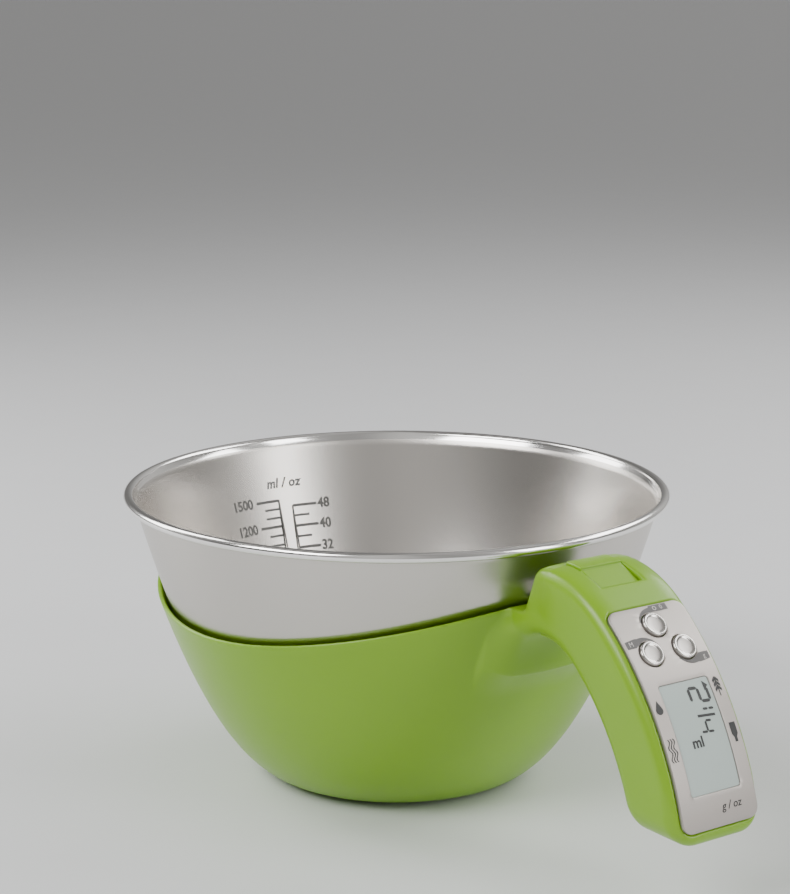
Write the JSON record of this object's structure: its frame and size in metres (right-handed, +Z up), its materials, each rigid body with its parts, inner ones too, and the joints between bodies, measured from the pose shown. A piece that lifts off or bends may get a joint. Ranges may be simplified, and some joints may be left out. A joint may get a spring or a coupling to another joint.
{
  "type": "kitchen scale",
  "caption": "Steel mixing bowl that lifts out of a green plastic weighing holder, whose curved handle carries the display, buttons and release.",
  "frame": {"origin": "on the bowl's axis, in the plane that the rubber ring under the holder stands on", "axes": "+Z up along the bowl's axis, +X from the bowl towards the handle, +Y to the right of the handle seen from its end"},
  "size_m": [0.2988, 0.216, 0.116],
  "materials": {
    "steel": "brushed round the bowl, polished rim",
    "green": "satin-gloss lime green moulding",
    "green_inner": "satin lime green moulding",
    "dark_plastic": "fine moulded texture",
    "rubber": "matt",
    "screw_steel": "zinc plated",
    "cell_aluminium": "milled",
    "cable_white": "soft insulation",
    "panel": "fine satin champagne silver",
    "window": "clear lens",
    "lcd": "grey-green display",
    "board": "solder mask",
    "button": "satin top, polished edge",
    "spring_steel": "bright wire",
    "natural_plastic": "natural acetal",
    "battery": "printed jacket"
  },
  "bodies": {
    "base": {"outer_shell": "green", "deck_ring": "dark_plastic", "deck_screws": "screw_steel", "base_cover": "green_inner", "foot_ring": "rubber", "base_screws": "screw_steel", "load_cell": "cell_aluminium", "load_cell_spacers": "cell_aluminium", "load_cell_screws": "screw_steel", "weighing_platform": "dark_plastic", "platform_pad": "rubber", "sensor_cable": "cable_white", "handle_housing": "green", "handle_rear_cover": "green_inner", "handle_screws": "screw_steel", "control_panel": "panel", "lcd_window": "window", "lcd_module": "lcd", "main_board": "board", "button_board": "board", "board_screws": "screw_steel", "board_link": "cable_white", "tact_switches": "dark_plastic", "release_spring": "spring_steel", "latch_carrier": "natural_plastic", "carrier_screws": "screw_steel", "battery_tray": "dark_plastic", "battery_cells": "battery", "battery_contacts": "spring_steel", "battery_springs": "spring_steel"},
    "bowl_body": {"bowl": "steel"},
    "power_key": {"button_power": "button"},
    "mode_key": {"button_mode": "button"},
    "unit_key": {"button_unit": "button"},
    "release_key": {"release_button": "green"},
    "latch": {"latch_slide": "natural_plastic"},
    "door": {"battery_door": "green_inner"}
  },
  "joints": [
    {"name": "bowl_lift", "type": "slide", "parent": "base", "child": "bowl_body", "axis": [0, 0, 1], "range_m": [0, 0.15]},
    {"name": "power_press", "type": "slide", "parent": "base", "child": "power_key", "axis": [-0.6704, 0, -0.742], "range_m": [0, 0.0008], "stiffness_N_per_m": 1200, "springref_m": -0.0003},
    {"name": "mode_press", "type": "slide", "parent": "base", "child": "mode_key", "axis": [-0.7302, 0, -0.6833], "range_m": [0, 0.0008], "stiffness_N_per_m": 1200, "springref_m": -0.0003},
    {"name": "unit_press", "type": "slide", "parent": "base", "child": "unit_key", "axis": [-0.7302, 0, -0.6833], "range_m": [0, 0.0008], "stiffness_N_per_m": 1200, "springref_m": -0.0003},
    {"name": "release_press", "type": "slide", "parent": "base", "child": "release_key", "axis": [0, 0, -1], "range_m": [0, 0.0025], "stiffness_N_per_m": 900, "springref_m": -0.001, "deforming": ["release_spring"]},
    {"name": "latch_draw", "type": "slide", "parent": "base", "child": "latch", "axis": [1, 0, 0], "range_m": [0, 0.0025]},
    {"name": "battery_door_swing", "type": "hinge", "parent": "base", "child": "door", "pos_m": [0.15965, 0, 0.04403], "axis": [0, -1, 0], "range_deg": [0, 75]}
  ],
  "couplings": [
    {"joint": "latch_draw", "follows": "release_press", "ratio": 1}
  ]
}
